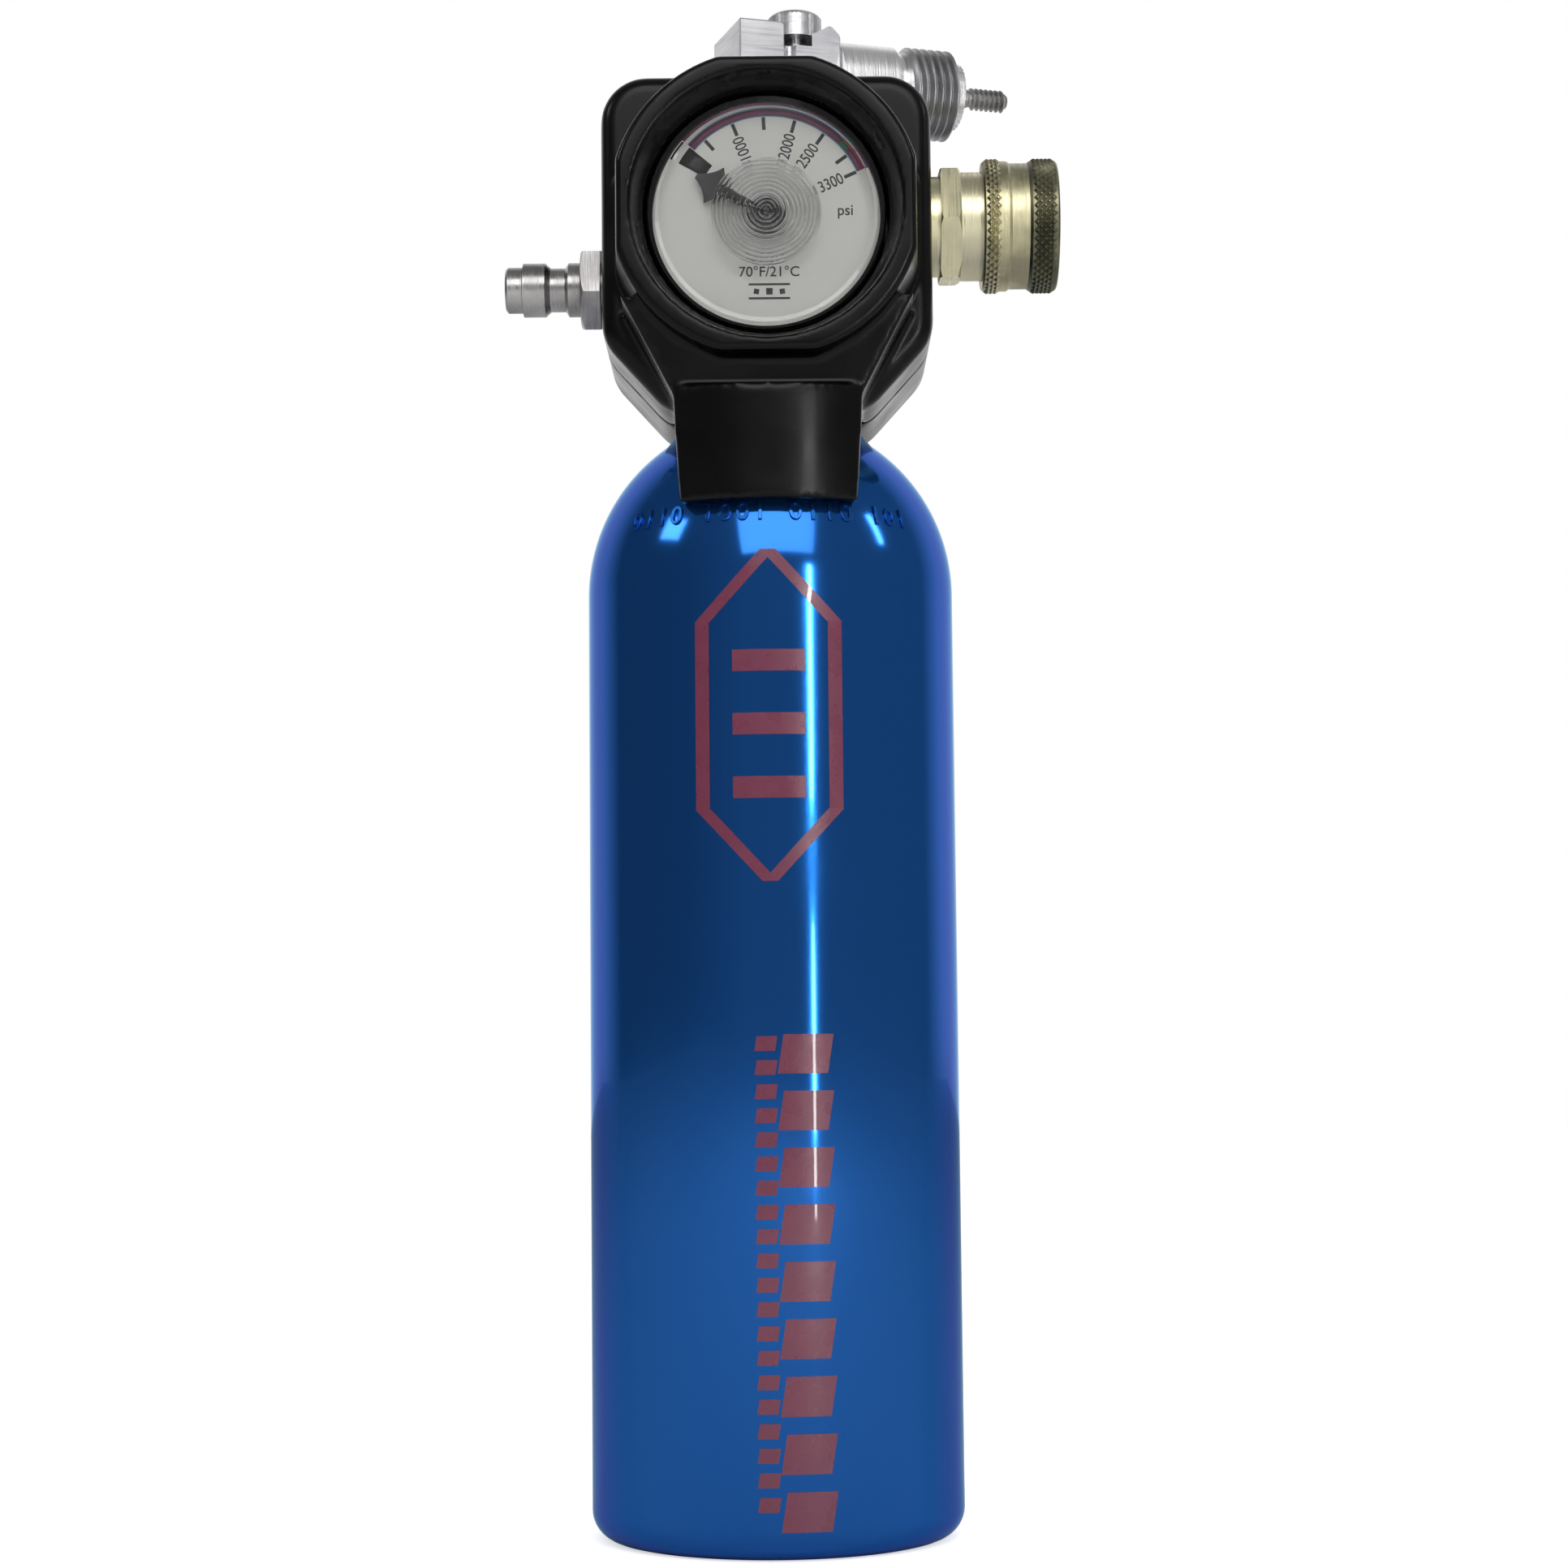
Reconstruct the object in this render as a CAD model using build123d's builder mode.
"""Small compressed-air cylinder with a gauge, a fill nipple, a quick coupler and a cable-pulled release.

Frame: the origin is the centre of the cylinder's flat base, +Z runs up the cylinder's axis, the outlet
coupler points along +X and the gauge faces -Y. All sizes are in millimetres.

How it works: air enters through the fill nipple on the left, past a sprung check plug, and goes down the
stem into the cylinder. The gauge and the burst disc feel the same pressure. A poppet holds the air back
from the outlet. A cable screwed to the pull pin draws out a wedge that carries the sprung striker. The
striker drops as the wedge leaves, and its nose pushes the poppet off its seat.
"""

import math
import os

from build123d import *

# ---------------------------------------------------------------- driving dimensions

# cylinder: 2.5 inch outside diameter
tank_radius = 31.75
tank_wall = 5.45
shoulder_z = 161.4
base_corner = 5.0
base_thickness = 8.0
neck_radius = 15.5
neck_z = 198.0
neck_bore = 8.0
neck_blend = 9.0
seal_section = 1.1

# heights of the three ports' axes
fill_z = 216.6
gauge_z = 223.2
outlet_z = 227.3

# valve body, a machined block that screws into the neck
body_half_width = 20.0
body_front_y = -12.0
body_rear_y = 20.0
body_bottom_z = 199.0
body_top_z = 246.0
stem_bottom_z = 179.0
gallery_radius = 2.0
gallery_top_z = 236.0

# the release valve and the striker share one upright axis
striker_x = 5.3
striker_y = 13.0
chamber_radius = 5.0
chamber_floor_z = 210.0
pull = 7.5
drop = 2.25
wedge_slope = drop / pull

# release block and barrel, turned in plan about the striker's axis
release_yaw = 18.0
pin_z = 257.7
block_left = -12.2
block_right = 7.0
block_front = -5.5
block_rear = 10.5
block_top_z = 267.2
barrel_radius = 7.95
collar_radius = 8.2
collar_start = 19.2
collar_end = 29.2
gland_end = 31.0
stud_radius = 2.02
stud_end = 41.1

# moulded cover
cover_half_width = 28.5
cover_top_z = 250.5
cover_front_y = -16.0
cover_rear_y = 25.0
cover_wall = 2.3
cover_corner = 8.0
cover_waist_z = 204.2
cover_foot_half_width = 17.0
cover_foot_z = 191.4
bezel_radius = 26.3
bezel_flat = 25.1
bezel_mouth = 22.8
bezel_face_y = -33.0
chin_radius = 32.5
chin_top_half_width = 16.0
chin_bottom_half_width = 14.8
chin_bottom_z = 173.5
chin_top_z = 193.0

# gauge, in distances forward of the cylinder's axis
gauge_radius = 20.3
case_back = 14.0
dial_face = 22.8
lens_back = 25.0
lens_face = 27.0
boss_radius = 9.3
zero_angle = 150.0

# outlet coupler, along X
coupler_hex = 19.05
coupler_shank_radius = 8.8
coupler_plain_radius = 9.525
coupler_bore = 6.2
coupler_mouth = 6.0
band_radius = 11.8
sleeve_rear_x = 37.85
sleeve_front_x = 50.97

running_gap = 0.05

os.makedirs("parts", exist_ok=True)

# ---------------------------------------------------------------- planes and shared shapes

# profiles of turned pieces: the first coordinate runs along the axis, the second is the radius
fill_profile = Plane(origin=(0, 0, fill_z), x_dir=(1, 0, 0), z_dir=(0, -1, 0))
fill_axis = Axis((0, 0, fill_z), (1, 0, 0))
outlet_profile = Plane(origin=(0, 0, outlet_z), x_dir=(1, 0, 0), z_dir=(0, -1, 0))
outlet_axis = Axis((0, 0, outlet_z), (1, 0, 0))
gauge_profile = Plane(origin=(0, 0, gauge_z), x_dir=(0, -1, 0), z_dir=(1, 0, 0))
gauge_axis = Axis((0, 0, gauge_z), (0, 1, 0))

# here the first coordinate is the radius and the second is the height
striker_profile = Plane(origin=(striker_x, striker_y, 0), x_dir=(1, 0, 0), z_dir=(0, -1, 0))
striker_axis = Axis((striker_x, striker_y, 0), (0, 0, 1))

# the release's own frame: X along the pull pin, origin on the striker's axis at the pin's height
yaw = math.radians(release_yaw)
release_frame = Plane(
    origin=(striker_x, striker_y, pin_z),
    x_dir=(math.cos(yaw), math.sin(yaw), 0),
    z_dir=(0, 0, 1),
)
pull_profile = Plane(
    origin=release_frame.origin,
    x_dir=release_frame.x_dir,
    z_dir=release_frame.y_dir * -1,
)
pull_axis = Axis(release_frame.origin, release_frame.x_dir)


def facing_front(forward, x=0.0, z=gauge_z):
    """Plane square to Y at a distance forward of the cylinder's axis, with its normal along -Y."""
    return Plane(origin=(x, -forward, z), x_dir=(1, 0, 0), z_dir=(0, -1, 0))


def facing_right(x, z):
    """Plane square to X with its normal along +X."""
    return Plane(origin=(x, 0, z), x_dir=(0, 1, 0), z_dir=(1, 0, 0))


def on_striker(z):
    """Level plane centred on the striker's axis and turned with the release block."""
    return release_frame.offset(z - pin_z)


def along_pull(distance):
    """Plane square to the pull pin at a distance from the striker's axis."""
    centre = release_frame.origin + release_frame.x_dir * distance
    return Plane(origin=centre, x_dir=release_frame.y_dir, z_dir=release_frame.x_dir)


def on_circle(centre, radius, degrees):
    """Point of a circle at an angle from its first axis."""
    angle = math.radians(degrees)
    return (centre[0] + radius * math.cos(angle), centre[1] + radius * math.sin(angle))


def tank_outline(gap=0.0, top_z=neck_z):
    """Half section of the cylinder's outside, grown by a gap: wall, dome, hollow blend and neck."""
    blend_x = neck_radius + neck_blend
    rise = math.sqrt((tank_radius + neck_blend) ** 2 - blend_x**2)
    dome_centre = (0, shoulder_z)
    blend_centre = (blend_x, shoulder_z + rise)
    dome_end = math.degrees(math.atan2(rise, blend_x))
    dome = tank_radius + gap
    blend = neck_blend - gap
    with BuildSketch(Plane.XZ) as outline:
        with BuildLine():
            foot = on_circle(dome_centre, dome, dome_end)
            neck = on_circle(blend_centre, blend, 180)
            Line((0, top_z), (0, -gap))
            Line((0, -gap), (dome, -gap))
            Line((dome, -gap), (dome, shoulder_z))
            ThreePointArc((dome, shoulder_z), on_circle(dome_centre, dome, dome_end / 2), foot)
            ThreePointArc(foot, on_circle(blend_centre, blend, 180 + dome_end / 2), neck)
            Line(neck, (neck[0], top_z))
            Line((neck[0], top_z), (0, top_z))
        make_face()
    return outline.sketch


def cover_outline(inset=0.0):
    """Front view of the cover: a box with round top corners that narrows to a foot round the neck."""
    with BuildSketch(Plane.XZ) as outline:
        with BuildLine():
            Polyline(
                (-cover_foot_half_width, cover_foot_z),
                (cover_foot_half_width, cover_foot_z),
                (cover_half_width, cover_waist_z),
                (cover_half_width, cover_top_z),
                (-cover_half_width, cover_top_z),
                (-cover_half_width, cover_waist_z),
                close=True,
            )
        make_face()
        fillet(outline.vertices().group_by(Axis.Z)[-1], cover_corner)
        fillet(outline.vertices().filter_by_position(Axis.Z, cover_waist_z - 1, cover_waist_z + 1), 6.0)
        if inset:
            offset(amount=-inset, kind=Kind.INTERSECTION, mode=Mode.REPLACE)
    return outline.sketch


def bezel_outline(growth, forward):
    """Round bezel with four flats, drawn on a plane forward of the axis."""
    with BuildSketch(facing_front(forward)) as outline:
        Circle(bezel_radius + growth)
        Rectangle(2 * (bezel_flat + growth), 2 * (bezel_flat + growth), mode=Mode.INTERSECT)
    return outline.sketch


def chin_block(inset, bottom_z, top_z):
    """Apron over the front of the neck: flat sides that close in downwards and a front round the axis."""
    side_lean = (chin_top_half_width - chin_bottom_half_width) / (chin_top_z - chin_bottom_z)
    half_at_bottom = chin_bottom_half_width + side_lean * (bottom_z - chin_bottom_z) - inset
    half_at_top = chin_bottom_half_width + side_lean * (top_z - chin_bottom_z) - inset
    with BuildPart() as block:
        with BuildSketch(Plane.XZ):
            Polygon(
                (-half_at_bottom, bottom_z),
                (half_at_bottom, bottom_z),
                (half_at_top, top_z),
                (-half_at_top, top_z),
                align=None,
            )
        extrude(amount=chin_radius + 1)
        with BuildSketch(Plane.XY.offset(bottom_z)):
            Circle(chin_radius - inset)
        extrude(amount=top_z - bottom_z, mode=Mode.INTERSECT)
    return block.part


def wind_spring(base, mean_radius, wire_radius, length, turns):
    """Helical spring that stands on a plane and fills a length along its normal."""
    climb = length - 2 * wire_radius
    start = base.origin + base.z_dir * wire_radius
    with BuildPart() as spring:
        with BuildLine() as path:
            Helix(climb / turns, climb, mean_radius, center=start, direction=base.z_dir)
        with BuildSketch(Plane(origin=path.line @ 0, z_dir=path.line % 0)):
            Circle(wire_radius)
        sweep(path=path.line, is_frenet=True)
    return spring


# ---------------------------------------------------------------- cylinder

inner_radius = tank_radius - tank_wall
inner_dome_z = shoulder_z - 1.4
groove_radius = neck_bore + 2 * seal_section
with BuildPart() as tank_shell:
    revolve(tank_outline(), axis=Axis.Z)
    fillet(tank_shell.edges().sort_by(Axis.Z)[0], base_corner)
    # inside: flat floor with a round corner, straight wall, dome and the threaded neck bore
    with BuildSketch(Plane.XY.offset(base_thickness)):
        Circle(inner_radius)
    extrude(amount=inner_dome_z - base_thickness, mode=Mode.SUBTRACT)
    fillet(tank_shell.edges().filter_by_position(Axis.Z, base_thickness - 0.1, base_thickness + 0.1), 8.0)
    with Locations((0, 0, inner_dome_z)):
        Sphere(inner_radius, mode=Mode.SUBTRACT)
    with BuildSketch(Plane.XY.offset(neck_z)):
        Circle(neck_bore)
    extrude(amount=-(neck_z - inner_dome_z), mode=Mode.SUBTRACT)
    with BuildSketch(Plane.XY.offset(neck_z)):
        Circle(groove_radius)
    extrude(amount=-2 * seal_section, mode=Mode.SUBTRACT)
tank_shell.part.label = "tank_shell"
export_step(tank_shell.part, "parts/tank_shell.step")

# rubber ring squeezed between the neck and the valve body's flange
with BuildPart() as neck_o_ring:
    with Locations((0, 0, neck_z - seal_section)):
        Torus(neck_bore + seal_section, seal_section)
neck_o_ring.part.label = "neck_o_ring"
export_step(neck_o_ring.part, "parts/neck_o_ring.step")

# ---------------------------------------------------------------- valve body

port_radius = 5.0
gauge_port_depth = 9.0
fill_port_end_x = -8.75
outlet_port_radius = 6.9
outlet_port_end_x = 11.25
burst_x = -8.75
burst_z = 210.0
burst_port_radius = 4.4
burst_port_y = 11.25
inlet_passage_z = 213.1
filter_radius = 5.0
filter_length = 4.0

with BuildPart() as valve_body:
    with BuildSketch(Plane.XY.offset(body_bottom_z)):
        with Locations((0, (body_front_y + body_rear_y) / 2)):
            Rectangle(2 * body_half_width, body_rear_y - body_front_y)
    extrude(amount=body_top_z - body_bottom_z)
    chamfer(valve_body.edges().filter_by(Axis.Z), 3.0)
    with BuildSketch(Plane.XY.offset(neck_z)):
        Circle(15.0)
    extrude(amount=body_bottom_z - neck_z)
    with BuildSketch(Plane.XY.offset(stem_bottom_z)):
        Circle(neck_bore - running_gap)
    extrude(amount=neck_z - stem_bottom_z)
    chamfer(valve_body.edges().sort_by(Axis.Z)[0], 0.8)
    # gallery up the middle, with a seat for the filter at its foot
    with BuildSketch(Plane.XY.offset(stem_bottom_z)):
        Circle(gallery_radius)
    extrude(amount=gallery_top_z - stem_bottom_z, mode=Mode.SUBTRACT)
    with BuildSketch(Plane.XY.offset(stem_bottom_z)):
        Circle(filter_radius)
    extrude(amount=filter_length, mode=Mode.SUBTRACT)
    # gauge port in front and its small passage
    with BuildSketch(facing_front(-body_front_y)):
        Circle(port_radius)
    extrude(amount=-gauge_port_depth, mode=Mode.SUBTRACT)
    with BuildSketch(facing_front(-body_front_y)):
        Circle(1.0)
    extrude(amount=body_front_y, mode=Mode.SUBTRACT)
    # fill port on the left and its passage
    with BuildSketch(facing_right(-body_half_width, fill_z)):
        Circle(port_radius)
    extrude(amount=fill_port_end_x + body_half_width, mode=Mode.SUBTRACT)
    with BuildSketch(facing_right(fill_port_end_x, fill_z)):
        Circle(1.25)
    extrude(amount=-fill_port_end_x, mode=Mode.SUBTRACT)
    # outlet port on the right
    with BuildSketch(facing_right(outlet_port_end_x, outlet_z)):
        Circle(outlet_port_radius)
    extrude(amount=body_half_width - outlet_port_end_x, mode=Mode.SUBTRACT)
    # burst disc port at the back
    with BuildSketch(facing_front(-body_rear_y, burst_x, burst_z)):
        Circle(burst_port_radius)
    extrude(amount=body_rear_y - burst_port_y, mode=Mode.SUBTRACT)
    # release valve's chamber, drilled from the top
    with BuildSketch(on_striker(chamber_floor_z)):
        Circle(chamber_radius)
    extrude(amount=body_top_z - chamber_floor_z, mode=Mode.SUBTRACT)
    # level passages: gallery to burst disc, gallery to chamber, outlet port to chamber
    for start, end, z, radius in (
        ((0, 0), (burst_x, burst_port_y + 0.6), burst_z, 1.1),
        ((0, 0), (striker_x, striker_y), inlet_passage_z, 1.5),
        ((outlet_port_end_x + 0.6, 0), (striker_x, striker_y), outlet_z, 2.0),
    ):
        run = Vector(end[0] - start[0], end[1] - start[1], 0)
        with BuildSketch(Plane(origin=(start[0], start[1], z), z_dir=run.normalized())):
            Circle(radius)
        extrude(amount=run.length, mode=Mode.SUBTRACT)
valve_body.part.label = "valve_body"
export_step(valve_body.part, "parts/valve_body.step")

# sintered bronze plug that keeps grit out of the gallery
with BuildPart() as inlet_filter:
    with BuildSketch(Plane.XY.offset(stem_bottom_z)):
        Circle(filter_radius)
    extrude(amount=filter_length)
    chamfer(inlet_filter.edges().sort_by(Axis.Z)[0], 0.5)
inlet_filter.part.label = "inlet_filter"
export_step(inlet_filter.part, "parts/inlet_filter.step")

# ---------------------------------------------------------------- release valve, from the bottom up

seat_bottom_z = 221.75
seat_top_z = 224.25
poppet_bottom_z = 218.25
poppet_top_z = 247.0
poppet_stem_radius = 1.4
poppet_head_radius = 3.6
stem_bore = poppet_stem_radius + running_gap
cartridge_top_z = 240.7
stem_seal_z = 236.0
turned_radius = chamber_radius - running_gap

poppet_spring = wind_spring(on_striker(chamber_floor_z), 2.9, 0.45, poppet_bottom_z - chamber_floor_z, 4.5)
poppet_spring.part.label = "poppet_spring"
export_step(poppet_spring.part, "parts/poppet_spring.step")

# the head seals upwards against the seat and the stem reaches up to the striker
with BuildPart() as poppet:
    with BuildSketch(striker_profile):
        with BuildLine():
            Polyline(
                (0, poppet_bottom_z),
                (poppet_head_radius, poppet_bottom_z),
                (poppet_head_radius, seat_bottom_z - 1.2),
                (2.4, seat_bottom_z - running_gap),
                (poppet_stem_radius, seat_bottom_z - running_gap),
                (poppet_stem_radius, poppet_top_z - 0.4),
                (1.0, poppet_top_z),
                (0, poppet_top_z),
                close=True,
            )
        make_face()
    revolve(axis=striker_axis)
poppet.part.label = "poppet"
export_step(poppet.part, "parts/poppet.step")

# nylon seat ring under the cartridge
with BuildPart() as valve_seat:
    with BuildSketch(on_striker(seat_bottom_z)):
        Circle(turned_radius)
        Circle(1.9, mode=Mode.SUBTRACT)
    extrude(amount=seat_top_z - seat_bottom_z)
valve_seat.part.label = "valve_seat"
export_step(valve_seat.part, "parts/valve_seat.step")

# the cartridge holds the seat down, guides the stem and lets the air out sideways
with BuildPart() as valve_cartridge:
    with BuildSketch(striker_profile):
        with BuildLine():
            Polyline(
                (2.75, seat_top_z),
                (turned_radius, seat_top_z),
                (turned_radius, outlet_z - 1.9),
                (4.1, outlet_z - 1.9),
                (4.1, outlet_z + 1.9),
                (turned_radius, outlet_z + 1.9),
                (turned_radius, cartridge_top_z),
                (stem_bore, cartridge_top_z),
                (stem_bore, stem_seal_z + 0.6),
                (2.55, stem_seal_z + 0.6),
                (2.55, stem_seal_z - 0.6),
                (stem_bore, stem_seal_z - 0.6),
                (stem_bore, 232.5),
                (2.75, 232.5),
                close=True,
            )
        make_face()
    revolve(axis=striker_axis)
    for turn in (0, 90):
        direction = (math.cos(math.radians(turn)), math.sin(math.radians(turn)), 0)
        with BuildSketch(Plane(origin=(striker_x, striker_y, outlet_z), z_dir=direction)):
            Circle(1.0)
        extrude(amount=turned_radius, both=True, mode=Mode.SUBTRACT)
valve_cartridge.part.label = "valve_cartridge"
export_step(valve_cartridge.part, "parts/valve_cartridge.step")

with BuildPart() as stem_o_ring:
    with Locations((striker_x, striker_y, stem_seal_z)):
        Torus(2.0, 0.55)
stem_o_ring.part.label = "stem_o_ring"
export_step(stem_o_ring.part, "parts/stem_o_ring.step")

# ---------------------------------------------------------------- release block

striker_bore = 3.3
spring_bore = 4.3
spring_top_z = 254.5
roof_z = 261.75
recess_floor_z = 263.05
recess_radius = 5.7
rod_radius = 2.1
pin_radius = 2.4
pin_bore = pin_radius + running_gap
pin_bore_start = -7.5
barrel_spigot_radius = 4.6
barrel_spigot_start = 5.0
shoulder_slope = 1.7
spigot_bottom_z = 241.0

with BuildPart() as trigger_block:
    with BuildSketch(on_striker(body_top_z)):
        with Locations(((block_left + block_right) / 2, (block_front + block_rear) / 2)):
            Rectangle(block_right - block_left, block_rear - block_front)
    extrude(amount=block_top_z - body_top_z)
    # the top edge over the barrel is sloped, the others are only broken
    chamfer(trigger_block.faces().sort_by(pull_axis)[-1].edges().sort_by(Axis.Z)[-1], shoulder_slope)
    chamfer(trigger_block.edges(), 0.3)
    # threaded spigot that screws into the top of the valve's chamber
    with BuildSketch(on_striker(spigot_bottom_z)):
        Circle(turned_radius)
    extrude(amount=body_top_z - spigot_bottom_z)
    # half-round groove down the front face
    with BuildSketch(on_striker(body_top_z)):
        with Locations((-2.75, block_front)):
            Circle(1.15)
    extrude(amount=block_top_z - body_top_z, mode=Mode.SUBTRACT)
    # stepped bore for the striker: nose, spring and flange, piston, rod, and the knob's recess
    for bottom_z, top_z, radius in (
        (spigot_bottom_z, body_top_z, 2.2),
        (body_top_z, spring_top_z, spring_bore),
        (spring_top_z, roof_z, striker_bore),
        (roof_z, recess_floor_z, rod_radius + running_gap),
        (recess_floor_z, block_top_z, recess_radius),
    ):
        with BuildSketch(on_striker(bottom_z)):
            Circle(radius)
        extrude(amount=top_z - bottom_z, mode=Mode.SUBTRACT)
    # the recess flares at its mouth and breaks out through the front face
    with BuildSketch(on_striker(block_top_z - 1.8)):
        Circle(recess_radius)
    with BuildSketch(on_striker(block_top_z)):
        Circle(recess_radius + 1.6)
    loft(mode=Mode.SUBTRACT)
    # cross bore for the pull pin and the seat for the barrel's spigot
    with BuildSketch(along_pull(pin_bore_start)):
        Circle(pin_bore)
    extrude(amount=block_right - pin_bore_start, mode=Mode.SUBTRACT)
    with BuildSketch(along_pull(barrel_spigot_start)):
        Circle(barrel_spigot_radius)
    extrude(amount=block_right - barrel_spigot_start, mode=Mode.SUBTRACT)
trigger_block.part.label = "trigger_block"
export_step(trigger_block.part, "parts/trigger_block.step")

# ---------------------------------------------------------------- striker and knob

nose_z = poppet_top_z + 0.25
flange_bottom_z = 248.5
flange_top_z = 249.75
piston_bottom_z = 254.6
piston_top_z = 260.25
knob_bottom_z = 265.4
knob_top_z = 270.3
knob_radius = 4.86
knob_ribs = 40
wedge_floor_z = 255.9
wedge_z = 258.1
wedge_half_width = 1.4
roof_gap = 0.1

with BuildPart() as striker:
    for bottom_z, top_z, radius in (
        (nose_z, flange_bottom_z, 1.75),
        (flange_bottom_z, flange_top_z, spring_bore - 0.1),
        (flange_top_z, piston_bottom_z, 1.9),
        (piston_bottom_z, piston_top_z, striker_bore - running_gap),
        (piston_top_z, knob_bottom_z, rod_radius),
    ):
        with BuildSketch(on_striker(bottom_z)):
            Circle(radius)
        extrude(amount=top_z - bottom_z)
    # window through the piston, whose sloping roof rides on the wedge
    reach = striker_bore + 0.5
    with BuildSketch(pull_profile):
        Polygon(
            (-reach, wedge_floor_z - 0.25 - pin_z),
            (reach, wedge_floor_z - 0.25 - pin_z),
            (reach, wedge_z + roof_gap + wedge_slope * reach - pin_z),
            (-reach, wedge_z + roof_gap - wedge_slope * reach - pin_z),
            align=None,
        )
    extrude(amount=wedge_half_width + 0.3, both=True, mode=Mode.SUBTRACT)
striker.part.label = "striker"
export_step(striker.part, "parts/striker.step")

with BuildPart() as striker_knob:
    with BuildSketch(on_striker(knob_bottom_z)):
        Circle(knob_radius)
        with PolarLocations(knob_radius + 0.08, knob_ribs):
            RegularPolygon(0.32, 3, mode=Mode.SUBTRACT)
    extrude(amount=knob_top_z - knob_bottom_z)
    # rounded top edge, cut by a domed envelope
    with BuildSketch(striker_profile):
        with BuildLine():
            Line((0, knob_bottom_z), (knob_radius + 0.2, knob_bottom_z))
            Line((knob_radius + 0.2, knob_bottom_z), (knob_radius + 0.2, knob_top_z - 1.6))
            ThreePointArc(
                (knob_radius + 0.2, knob_top_z - 1.6),
                (knob_radius - 0.35, knob_top_z - 0.5),
                (knob_radius - 1.6, knob_top_z),
            )
            Line((knob_radius - 1.6, knob_top_z), (0, knob_top_z))
            Line((0, knob_top_z), (0, knob_bottom_z))
        make_face()
    revolve(axis=striker_axis, mode=Mode.INTERSECT)
striker_knob.part.label = "striker_knob"
export_step(striker_knob.part, "parts/striker_knob.step")

striker_spring = wind_spring(on_striker(flange_top_z), 3.75, 0.3, spring_top_z - flange_top_z, 3.5)
striker_spring.part.label = "striker_spring"
export_step(striker_spring.part, "parts/striker_spring.step")

# ---------------------------------------------------------------- barrel, gland nut and pull pin

barrel_bore = 5.0
barrel_floor = 11.9
gland_inner = 26.75
gland_radius = 6.05
gland_ribs = 30
pin_flange_start = 12.75
pin_flange_end = 14.0
stud_neck_radius = 1.7
thread_start = 33.2

with BuildPart() as trigger_barrel:
    with BuildSketch(pull_profile):
        with BuildLine():
            Polyline(
                (barrel_spigot_start, pin_bore),
                (barrel_spigot_start, barrel_spigot_radius),
                (block_right, barrel_spigot_radius),
                (block_right, barrel_radius),
                (collar_start - 1.4, barrel_radius),
                (collar_start - 0.9, 7.0),
                (collar_start, 7.0),
                (collar_start + 1.2, collar_radius),
                (collar_end - 1.2, collar_radius),
                (collar_end, 7.0),
                (collar_end, barrel_bore),
                (barrel_floor, barrel_bore),
                (barrel_floor, pin_bore),
                close=True,
            )
        make_face()
    revolve(axis=pull_axis)
trigger_barrel.part.label = "trigger_barrel"
export_step(trigger_barrel.part, "parts/trigger_barrel.step")

# knurled nut that closes the barrel and guides the stud
with BuildPart() as gland_nut:
    with BuildSketch(along_pull(collar_end)):
        Circle(gland_radius)
        with PolarLocations(gland_radius + 0.1, gland_ribs):
            RegularPolygon(0.5, 3, mode=Mode.SUBTRACT)
    extrude(amount=gland_end - collar_end)
    with BuildSketch(along_pull(gland_inner)):
        Circle(barrel_bore - running_gap)
    extrude(amount=collar_end - gland_inner)
    with BuildSketch(along_pull(gland_inner)):
        Circle(stud_neck_radius + running_gap)
    extrude(amount=gland_end - gland_inner, mode=Mode.SUBTRACT)
gland_nut.part.label = "gland_nut"
export_step(gland_nut.part, "parts/gland_nut.step")

# the wedge lies under the striker, the rod and flange take the spring, and the stud takes the cable
wedge_start = -5.0
wedge_end = 3.75
with BuildPart() as pull_pin:
    with BuildSketch(pull_profile):
        Polygon(
            (wedge_start, wedge_floor_z - pin_z),
            (wedge_end, wedge_floor_z - pin_z),
            (wedge_end, wedge_z + wedge_slope * wedge_end - pin_z),
            (wedge_start, wedge_z + wedge_slope * wedge_start - pin_z),
            align=None,
        )
    extrude(amount=wedge_half_width, both=True)
    for start, end, radius in (
        (wedge_end, pin_flange_start, pin_radius),
        (pin_flange_start, pin_flange_end, barrel_bore - 0.1),
        (pin_flange_end, thread_start, stud_neck_radius),
        (thread_start, stud_end, stud_radius),
    ):
        with BuildSketch(along_pull(start)):
            Circle(radius)
        extrude(amount=end - start)
    chamfer(pull_pin.faces().sort_by(pull_axis)[-1].edges(), 0.5)
pull_pin.part.label = "pull_pin"
export_step(pull_pin.part, "parts/pull_pin.step")

pin_spring = wind_spring(along_pull(pin_flange_end), 3.6, 0.35, gland_inner - pin_flange_end, 6.0)
pin_spring.part.label = "pin_spring"
export_step(pin_spring.part, "parts/pin_spring.step")

# ---------------------------------------------------------------- gauge

case_wall = 1.0
socket_radius = 3.5
with BuildPart() as gauge_case:
    with BuildSketch(gauge_profile):
        with BuildLine():
            Polyline(
                (case_back, socket_radius),
                (case_back, gauge_radius - 0.8),
                (case_back + 0.8, gauge_radius),
                (lens_back, gauge_radius),
                (lens_back, gauge_radius - case_wall),
                (case_back + case_wall, gauge_radius - case_wall),
                (case_back + case_wall, socket_radius),
                close=True,
            )
        make_face()
    revolve(axis=gauge_axis)
gauge_case.part.label = "gauge_case"
export_step(gauge_case.part, "parts/gauge_case.step")

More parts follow.
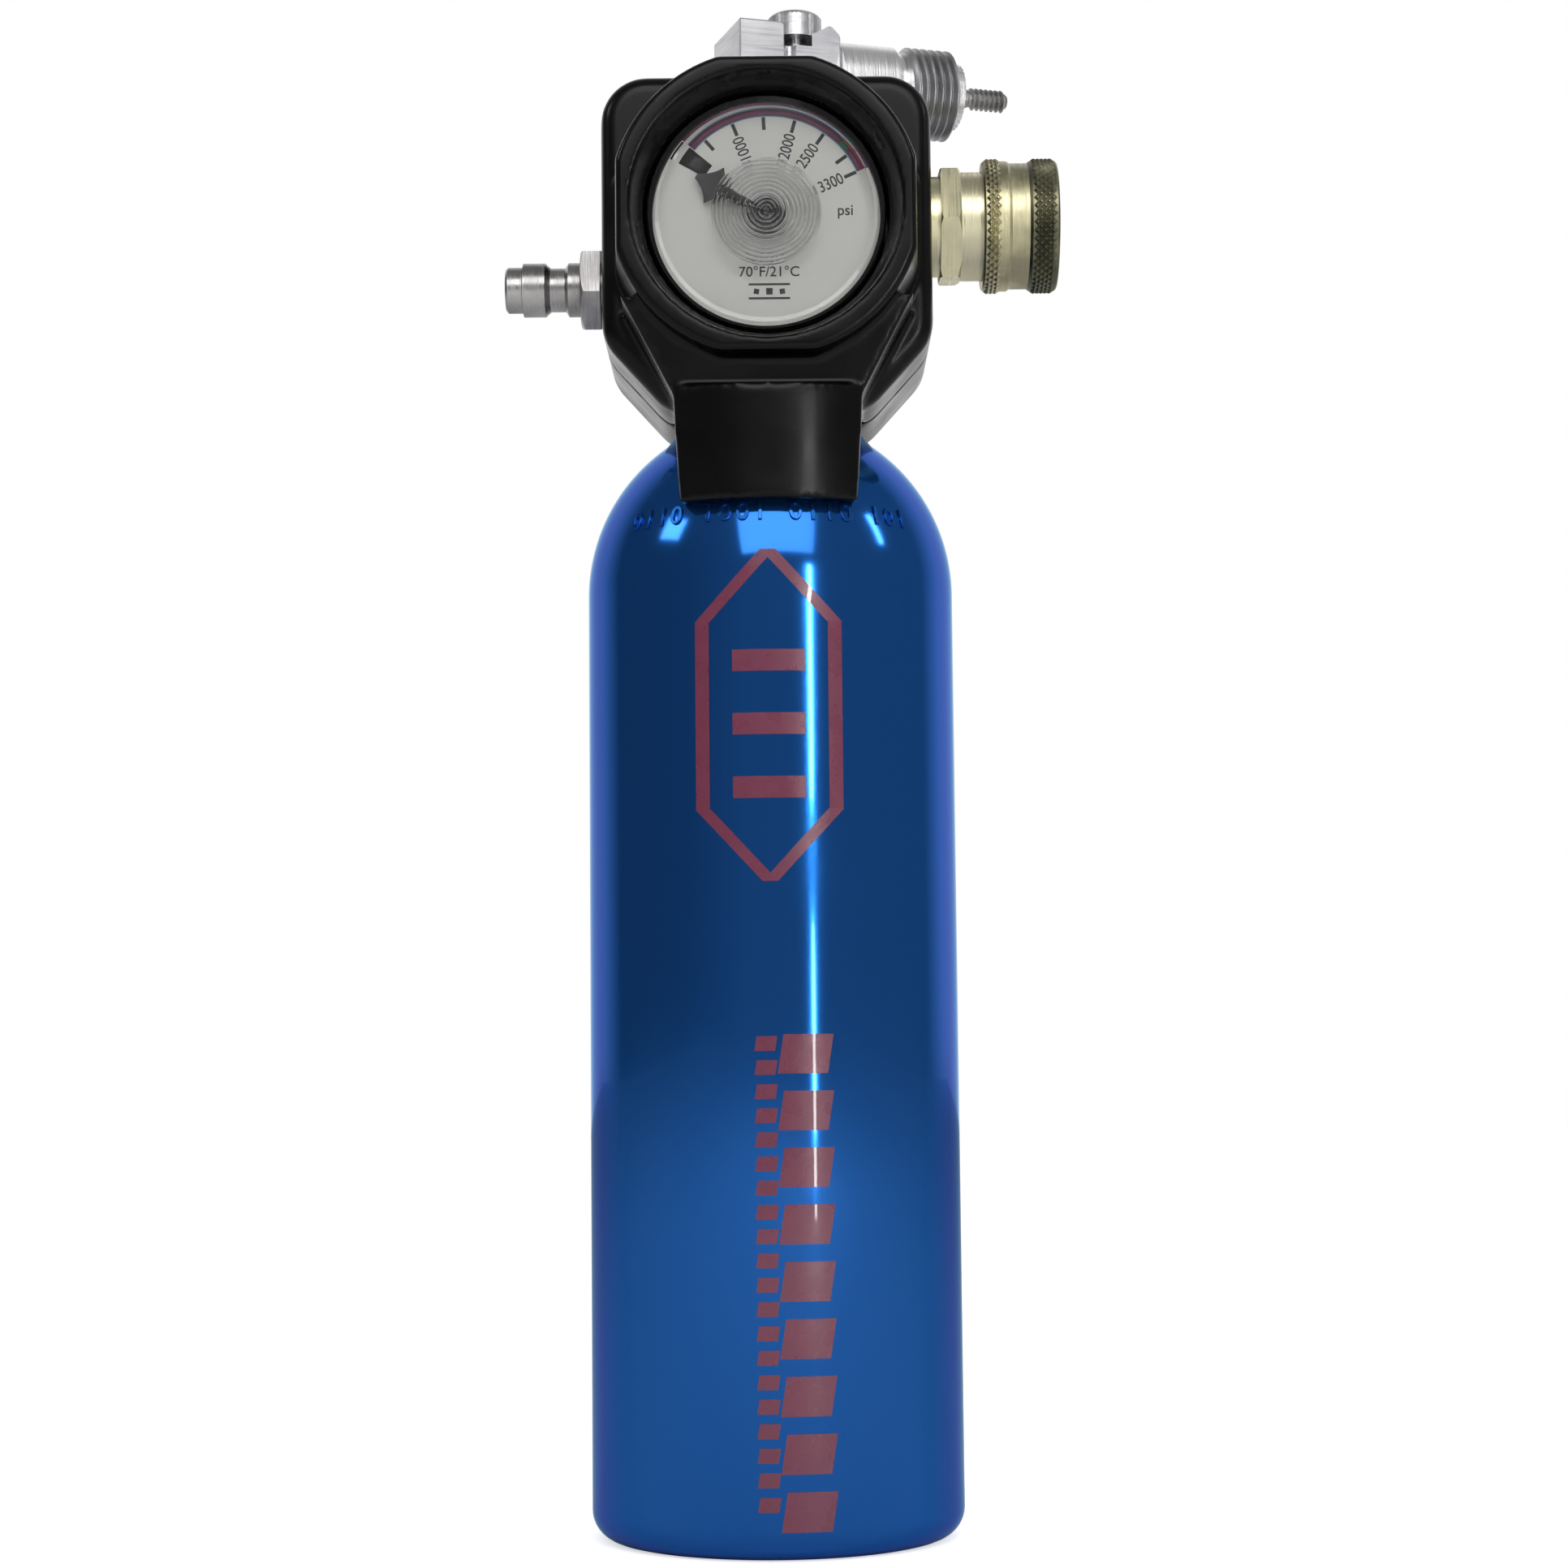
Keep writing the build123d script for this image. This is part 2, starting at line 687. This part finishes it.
# clear lens with a stepped rim and a low boss over the pointer's hub
with BuildPart() as gauge_lens:
    with BuildSketch(gauge_profile):
        with BuildLine():
            Polyline(
                (lens_back, 0),
                (lens_back, gauge_radius),
                (lens_face - 0.9, gauge_radius),
                (lens_face - 0.6, gauge_radius - 0.3),
                (lens_face - 0.6, gauge_radius - 1.5),
                (lens_face, gauge_radius - 2.1),
                (lens_face, boss_radius),
                (lens_face + 0.6, boss_radius - 0.4),
                (lens_face + 0.6, 0),
                close=True,
            )
        make_face()
    revolve(axis=gauge_axis)
gauge_lens.part.label = "gauge_lens"
export_step(gauge_lens.part, "parts/gauge_lens.step")

staff_radius = 1.0
with BuildPart() as gauge_dial:
    with BuildSketch(facing_front(dial_face - 0.6)):
        Circle(gauge_radius - case_wall)
        Circle(staff_radius + 0.06, mode=Mode.SUBTRACT)
    extrude(amount=0.6)
gauge_dial.part.label = "gauge_dial"
export_step(gauge_dial.part, "parts/gauge_dial.step")

# brass socket: screws into the valve body, clamps the case and carries the Bourdon tube
tube_back = 16.6
tube_front = 18.4
with BuildPart() as gauge_socket:
    with BuildSketch(facing_front(-body_front_y - gauge_port_depth)):
        Circle(port_radius - running_gap)
    extrude(amount=gauge_port_depth)
    with BuildSketch(facing_front(-body_front_y)):
        RegularPolygon(6.25, 6, major_radius=False)
    extrude(amount=case_back + body_front_y)
    with BuildSketch(facing_front(case_back)):
        Circle(socket_radius)
    extrude(amount=tube_front - case_back)
    with BuildSketch(facing_front(-body_front_y - gauge_port_depth)):
        Circle(0.6)
    extrude(amount=tube_front - 1.0 + body_front_y + gauge_port_depth, mode=Mode.SUBTRACT)
gauge_socket.part.label = "gauge_socket"
export_step(gauge_socket.part, "parts/gauge_socket.step")

# flat spiral tube that uncoils as the pressure rises, drawn as half turns of growing radius
tube_width = 0.8
spiral_step = 1.05
spiral_half_turns = 9
with BuildPart() as bourdon_tube:
    with BuildSketch(facing_front(tube_back)):
        with BuildLine():
            reach = socket_radius + tube_width / 2
            for half_turn in range(spiral_half_turns):
                side = 1 if half_turn % 2 == 0 else -1
                next_reach = reach + spiral_step
                middle = side * (reach - next_reach) / 2
                top = side * (reach + next_reach) / 2
                ThreePointArc((side * reach, 0), (middle, top), (-side * next_reach, 0))
                reach = next_reach
        trace(line_width=tube_width)
    extrude(amount=tube_front - tube_back)
bourdon_tube.part.label = "bourdon_tube"
export_step(bourdon_tube.part, "parts/bourdon_tube.step")

# pointer: barbed head, shaft, round hub and the staff that runs back through the dial
pointer_back = dial_face + 1.1
pointer_thickness = 0.4
pointer_plane = Plane(
    origin=(0, -pointer_back, gauge_z),
    x_dir=(math.cos(math.radians(zero_angle)), 0, math.sin(math.radians(zero_angle))),
    z_dir=(0, -1, 0),
)
with BuildPart() as gauge_pointer:
    with BuildSketch(pointer_plane):
        Circle(3.0)
        Rectangle(9.0, 1.6, align=(Align.MIN, Align.CENTER))
        with BuildLine():
            nose = Line((13.6, -0.45), (13.6, 0.45))
            upper = ThreePointArc(nose @ 1, (11.9, 1.4), (10.2, 3.5))
            back = Polyline(upper @ 1, (8.2, 0.8), (8.2, -0.8), (10.2, -3.5))
            ThreePointArc(back @ 1, (11.9, -1.4), nose @ 0)
        make_face()
    extrude(amount=pointer_thickness)
    with BuildSketch(facing_front(tube_front + 0.5)):
        Circle(staff_radius)
    extrude(amount=pointer_back - tube_front - 0.5)
gauge_pointer.part.label = "gauge_pointer"
export_step(gauge_pointer.part, "parts/gauge_pointer.step")

# ---------------------------------------------------------------- fill nipple

nipple_tip_x = -46.1
fill_hex_left = -32.8
fill_hex_right = -29.25
fill_hex_width = 13.6
check_seat_x = -41.9
check_bore = 2.8
check_bore_end = -28.0
check_length = 5.0

with BuildPart() as fill_hex:
    with BuildSketch(facing_right(fill_hex_left, fill_z)):
        RegularPolygon(fill_hex_width / 2, 6, major_radius=False, rotation=15)
    extrude(amount=fill_hex_right - fill_hex_left)
    with BuildSketch(fill_profile):
        Polygon(
            (fill_hex_left, 0),
            (fill_hex_left, 6.6),
            (fill_hex_left + 0.9, 8.2),
            (fill_hex_right, 8.2),
            (fill_hex_right, 0),
            align=None,
        )
    revolve(axis=fill_axis, mode=Mode.INTERSECT)

with BuildPart() as fill_nipple:
    with BuildSketch(fill_profile):
        with BuildLine():
            Polyline(
                (nipple_tip_x, 0),
                (nipple_tip_x, 3.6),
                (nipple_tip_x + 0.4, 4.035),
                (-43.2, 4.035),
                (-43.0, 4.72),
                (-39.1, 4.72),
                (-38.2, 3.85),
                (-35.6, 3.85),
                (-35.0, 4.75),
                (fill_hex_right, 4.75),
                (fill_hex_right, port_radius - running_gap),
                (fill_port_end_x, port_radius - running_gap),
                (fill_port_end_x, 0),
                close=True,
            )
        make_face()
    revolve(axis=fill_axis)
    add(fill_hex.part)
    # the way through: mouth, check plug's chamber, passage
    for start, end, radius in (
        (nipple_tip_x, check_seat_x, 1.75),
        (check_seat_x, check_bore_end, check_bore),
        (check_bore_end, fill_port_end_x, 1.5),
    ):
        with BuildSketch(facing_right(start, fill_z)):
            Circle(radius)
        extrude(amount=end - start, mode=Mode.SUBTRACT)
fill_nipple.part.label = "fill_nipple"
export_step(fill_nipple.part, "parts/fill_nipple.step")

# coned plug that the filling air pushes inwards
with BuildPart() as check_plug:
    with BuildSketch(fill_profile):
        Polygon(
            (check_seat_x - 1.1, 0),
            (check_seat_x - 1.1, 0.9),
            (check_seat_x + running_gap, 1.6),
            (check_seat_x + running_gap, check_bore - 0.1),
            (check_seat_x + check_length, check_bore - 0.1),
            (check_seat_x + check_length, 0),
            align=None,
        )
    revolve(axis=fill_axis)
check_plug.part.label = "check_plug"
export_step(check_plug.part, "parts/check_plug.step")

check_spring_x = check_seat_x + check_length
check_spring = wind_spring(
    facing_right(check_spring_x, fill_z), 2.1, 0.3, check_bore_end - check_spring_x, 7.0
)
check_spring.part.label = "check_spring"
export_step(check_spring.part, "parts/check_spring.step")

# ---------------------------------------------------------------- outlet coupler

coupler_hex_left = 30.4
coupler_hex_right = 34.0
spring_seat_x = 38.6
barrel_outer = 8.06
barrel_end_x = 50.5
ball_x = 46.25
ball_radius = 1.55
ball_count = 6
ball_centre = coupler_bore - 0.9 + ball_radius
mouth_start_x = 47.9
ring_x = 48.35
ring_width = 0.9
land_start_x = 44.6
land_end_x = 48.2
seal_x = 39.3
seal_groove = 1.1

with BuildPart() as coupler_hexagon:
    with BuildSketch(facing_right(coupler_hex_left, outlet_z)):
        RegularPolygon(coupler_hex / 2, 6, major_radius=False, rotation=6)
    extrude(amount=coupler_hex_right - coupler_hex_left)
    with BuildSketch(outlet_profile):
        Polygon(
            (coupler_hex_left, 0),
            (coupler_hex_left, 10.4),
            (coupler_hex_left + 0.4, 11.2),
            (coupler_hex_right - 0.7, 11.2),
            (coupler_hex_right, 9.8),
            (coupler_hex_right, 0),
            align=None,
        )
    revolve(axis=outlet_axis, mode=Mode.INTERSECT)

with BuildPart() as coupler_body:
    with BuildSketch(outlet_profile):
        with BuildLine():
            Polyline(
                (outlet_port_end_x, 0),
                (outlet_port_end_x, outlet_port_radius - running_gap),
                (body_half_width + 0.3, outlet_port_radius - running_gap),
                (body_half_width + 0.3, coupler_shank_radius),
                (coupler_hex_right, coupler_shank_radius),
                (coupler_hex_right, coupler_plain_radius),
                (spring_seat_x, coupler_plain_radius),
                (spring_seat_x, barrel_outer),
                (ring_x - running_gap, barrel_outer),
                (ring_x - running_gap, barrel_outer - 0.6),
                (ring_x + ring_width + running_gap, barrel_outer - 0.6),
                (ring_x + ring_width + running_gap, barrel_outer),
                (barrel_end_x - 0.4, barrel_outer),
                (barrel_end_x, barrel_outer - 0.4),
                (barrel_end_x, coupler_mouth + 0.5),
                (barrel_end_x - 0.5, coupler_mouth),
                (mouth_start_x, coupler_mouth),
                (mouth_start_x, coupler_bore),
                (seal_x + seal_groove, coupler_bore),
                (seal_x + seal_groove, coupler_bore + 1.1),
                (seal_x - seal_groove, coupler_bore + 1.1),
                (seal_x - seal_groove, coupler_bore),
                (36.25, coupler_bore),
                (36.25, 0),
                close=True,
            )
        make_face()
    revolve(axis=outlet_axis)
    add(coupler_hexagon.part)
    with BuildSketch(facing_right(outlet_port_end_x, outlet_z)):
        Circle(3.25)
    extrude(amount=36.25 - outlet_port_end_x, mode=Mode.SUBTRACT)
    # radial holes for the locking balls
    for index in range(ball_count):
        angle = math.radians(360 / ball_count * index)
        outward = (0, math.cos(angle), math.sin(angle))
        with BuildSketch(Plane(origin=(ball_x, 0, outlet_z), z_dir=outward)):
            Circle(ball_radius + running_gap)
        extrude(amount=barrel_outer + 1.0, mode=Mode.SUBTRACT)
coupler_body.part.label = "coupler_body"
export_step(coupler_body.part, "parts/coupler_body.step")

with BuildPart() as locking_balls:
    for index in range(ball_count):
        angle = math.radians(360 / ball_count * index)
        with Locations((ball_x, ball_centre * math.cos(angle), outlet_z + ball_centre * math.sin(angle))):
            Sphere(ball_radius)
locking_balls.part.label = "locking_balls"
export_step(locking_balls.part, "parts/locking_balls.step")

# sliding sleeve: two bands with a plain groove between them, and the land that holds the balls in
land_radius = ball_centre + ball_radius + running_gap
release_bore = land_radius + 0.9
sleeve_bore = coupler_plain_radius + running_gap
groove_floor = 11.0
with BuildPart() as coupler_sleeve:
    with BuildSketch(outlet_profile):
        with BuildLine():
            Polyline(
                (sleeve_rear_x, sleeve_bore),
                (sleeve_rear_x, 11.0),
                (sleeve_rear_x + 0.6, band_radius),
                (42.1, band_radius),
                (42.7, groove_floor),
                (45.8, groove_floor),
                (46.4, band_radius),
                (sleeve_front_x - 0.8, band_radius),
                (sleeve_front_x, 10.8),
                (sleeve_front_x, release_bore),
                (land_end_x, release_bore),
                (land_end_x, land_radius),
                (land_start_x, land_radius),
                (land_start_x, sleeve_bore),
                close=True,
            )
        make_face()
    revolve(axis=outlet_axis)
coupler_sleeve.part.label = "coupler_sleeve"
export_step(coupler_sleeve.part, "parts/coupler_sleeve.step")

# split ring that stops the sleeve at the front
with BuildPart() as snap_ring:
    with BuildSketch(facing_right(ring_x, outlet_z)):
        Circle(land_radius + 0.4)
        Circle(barrel_outer - 0.5, mode=Mode.SUBTRACT)
        with Locations((0, -barrel_outer)):
            Rectangle(1.6, 3.0, mode=Mode.SUBTRACT)
    extrude(amount=ring_width)
snap_ring.part.label = "snap_ring"
export_step(snap_ring.part, "parts/snap_ring.step")

sleeve_spring = wind_spring(
    facing_right(spring_seat_x, outlet_z), 8.85, 0.4, land_start_x - spring_seat_x, 3.0
)
sleeve_spring.part.label = "sleeve_spring"
export_step(sleeve_spring.part, "parts/sleeve_spring.step")

# ring that seals the hose's plug
with BuildPart() as plug_seal:
    with Locations(Location((seal_x, 0, outlet_z), (0, 90, 0))):
        Torus(coupler_bore + 0.2, 0.9)
plug_seal.part.label = "plug_seal"
export_step(plug_seal.part, "parts/plug_seal.step")

# ---------------------------------------------------------------- burst disc at the back

disc_thickness = 0.8
plug_head_y = 24.4
with BuildPart() as burst_disc:
    with BuildSketch(facing_front(-burst_port_y, burst_x, burst_z)):
        Circle(burst_port_radius - running_gap)
    extrude(amount=-disc_thickness)
burst_disc.part.label = "burst_disc"
export_step(burst_disc.part, "parts/burst_disc.step")

with BuildPart() as burst_plug:
    with BuildSketch(facing_front(-body_rear_y, burst_x, burst_z)):
        RegularPolygon(5.5, 6, major_radius=False)
    extrude(amount=-(plug_head_y - body_rear_y))
    chamfer(burst_plug.faces().sort_by(Axis.Y)[-1].edges(), 0.5)
    with BuildSketch(facing_front(-body_rear_y, burst_x, burst_z)):
        Circle(burst_port_radius - running_gap)
    extrude(amount=body_rear_y - burst_port_y - disc_thickness)
    # blind bore and six side vents, so that escaping air can't push the cylinder
    with BuildSketch(facing_front(-(burst_port_y + disc_thickness), burst_x, burst_z)):
        Circle(1.7)
    extrude(amount=-(plug_head_y - burst_port_y - disc_thickness - 1.0), mode=Mode.SUBTRACT)
    for turn in (0, 60, 120):
        direction = (math.cos(math.radians(turn)), 0, math.sin(math.radians(turn)))
        with BuildSketch(Plane(origin=(burst_x, body_rear_y + 2.2, burst_z), z_dir=direction)):
            Circle(0.8)
        extrude(amount=8.0, both=True, mode=Mode.SUBTRACT)
burst_plug.part.label = "burst_plug"
export_step(burst_plug.part, "parts/burst_plug.step")

# ---------------------------------------------------------------- moulded cover, front and rear halves

tank_gap = 0.4
screw_places = [(side * 24.3, z) for side in (-1, 1) for z in (206.6, 242.8)]
screw_radius = 1.3
boss_outer = 3.0
head_radius = 2.4
head_seat_y = cover_rear_y - 2.0
gauge_bore = gauge_radius + 0.5

outer_outline = cover_outline()
inner_outline = cover_outline(cover_wall)
tank_clearance = tank_outline(tank_gap, top_z=neck_z + 4.0)
chin_shell = chin_block(0.0, chin_bottom_z, chin_top_z)
chin_hollow = chin_block(cover_wall, chin_bottom_z - 4.0, chin_top_z - 1.6)

with BuildPart() as front_cover:
    extrude(outer_outline, amount=-cover_front_y)
    fillet(front_cover.faces().sort_by(Axis.Y)[0].edges(), 2.6)
    loft([bezel_outline(1.2, 8.0), bezel_outline(0.0, -bezel_face_y)])
    chamfer(front_cover.faces().sort_by(Axis.Y)[0].edges(), 0.6)
    # belly that runs from behind the bezel down to the chin
    with BuildSketch(Plane.XY.offset(chin_top_z - 1.0)):
        with Locations((0, -14.2)):
            Rectangle(32.0, 28.4)
    with BuildSketch(Plane.XY.offset(208.0)):
        with Locations((0, -15.4)):
            Rectangle(49.0, 30.8)
    loft()
    add(chin_shell)
    # room for the valve body, the belly's hollow and the chin's hollow
    extrude(inner_outline, amount=-cover_front_y - cover_wall, mode=Mode.SUBTRACT)
    with BuildSketch(Plane.XY.offset(chin_top_z - 2.0)):
        with Locations((0, -13.2)):
            Rectangle(27.0, 26.4)
    extrude(amount=7.0, mode=Mode.SUBTRACT)
    add(chin_hollow, mode=Mode.SUBTRACT)
    # stepped and flared hole for the gauge
    with BuildSketch(gauge_profile):
        Polygon(
            (0, 0),
            (0, gauge_bore),
            (lens_face, gauge_bore),
            (lens_face + 0.6, 21.6),
            (-bezel_face_y, bezel_mouth),
            (-bezel_face_y + 1.0, bezel_mouth + 0.2),
            (-bezel_face_y + 1.0, 0),
            align=None,
        )
    revolve(axis=gauge_axis, mode=Mode.SUBTRACT)
    # bosses for the cover's screws
    for x, z in screw_places:
        with BuildSketch(facing_front(0, x, z)):
            Circle(boss_outer)
        extrude(amount=-cover_front_y - 1.0)
        with BuildSketch(facing_front(0, x, z)):
            Circle(screw_radius + running_gap)
        extrude(amount=12.0, mode=Mode.SUBTRACT)
    # clearance round the cylinder's neck and shoulder, and ways for the nipple and the coupler
    revolve(tank_clearance, axis=Axis.Z, mode=Mode.SUBTRACT)
    with BuildSketch(facing_right(-40.0, fill_z)):
        Circle(port_radius + 0.4)
    extrude(amount=20.0, mode=Mode.SUBTRACT)
    with BuildSketch(facing_right(20.0, outlet_z)):
        Circle(coupler_shank_radius + 0.4)
    extrude(amount=20.0, mode=Mode.SUBTRACT)
front_cover.part.label = "front_cover"
export_step(front_cover.part, "parts/front_cover.step")

with BuildPart() as rear_cover:
    extrude(outer_outline, amount=-cover_rear_y)
    fillet(rear_cover.faces().sort_by(Axis.Y)[-1].edges(), 5.0)
    extrude(inner_outline, amount=-(cover_rear_y - cover_wall), mode=Mode.SUBTRACT)
    # bosses for the cover's screws, with seats for their heads
    for x, z in screw_places:
        with BuildSketch(facing_front(0, x, z)):
            Circle(boss_outer)
        extrude(amount=-(cover_rear_y - 1.5))
        with BuildSketch(facing_front(0, x, z)):
            Circle(screw_radius + 0.2)
        extrude(amount=-cover_rear_y - 1.0, mode=Mode.SUBTRACT)
        with BuildSketch(facing_front(-head_seat_y, x, z)):
            Circle(head_radius + 0.2)
        extrude(amount=-4.0, mode=Mode.SUBTRACT)
    # opening for the release block, a trough under its barrel and a hole for the burst plug
    with BuildSketch(on_striker(body_top_z - 1.0)):
        with Locations(((block_left + block_right) / 2, (block_front + block_rear) / 2)):
            Rectangle(block_right - block_left + 1.2, block_rear - block_front + 1.2)
    extrude(amount=12.0, mode=Mode.SUBTRACT)
    with BuildSketch(along_pull(block_right)):
        Circle(collar_radius + 0.6)
    extrude(amount=40.0, mode=Mode.SUBTRACT)
    with BuildSketch(facing_front(-body_rear_y, burst_x, burst_z)):
        Circle(7.6)
    extrude(amount=-12.0, mode=Mode.SUBTRACT)
    # clearance round the neck, and ways for the nipple and the coupler
    revolve(tank_clearance, axis=Axis.Z, mode=Mode.SUBTRACT)
    with BuildSketch(facing_right(-40.0, fill_z)):
        Circle(port_radius + 0.4)
    extrude(amount=20.0, mode=Mode.SUBTRACT)
    with BuildSketch(facing_right(20.0, outlet_z)):
        Circle(coupler_shank_radius + 0.4)
    extrude(amount=20.0, mode=Mode.SUBTRACT)
rear_cover.part.label = "rear_cover"
export_step(rear_cover.part, "parts/rear_cover.step")

# four screws that draw the halves together from the back
with BuildPart() as cover_screws:
    for x, z in screw_places:
        with BuildSketch(facing_front(-head_seat_y, x, z)):
            Circle(screw_radius)
        extrude(amount=head_seat_y + 10.0)
        with BuildSketch(facing_front(-head_seat_y, x, z)):
            Circle(head_radius)
        extrude(amount=-1.5)
        with BuildSketch(facing_front(-head_seat_y - 1.5, x, z)):
            Rectangle(2.8, 0.6)
            Rectangle(0.6, 2.8)
        extrude(amount=1.0, mode=Mode.SUBTRACT)
cover_screws.part.label = "cover_screws"
export_step(cover_screws.part, "parts/cover_screws.step")
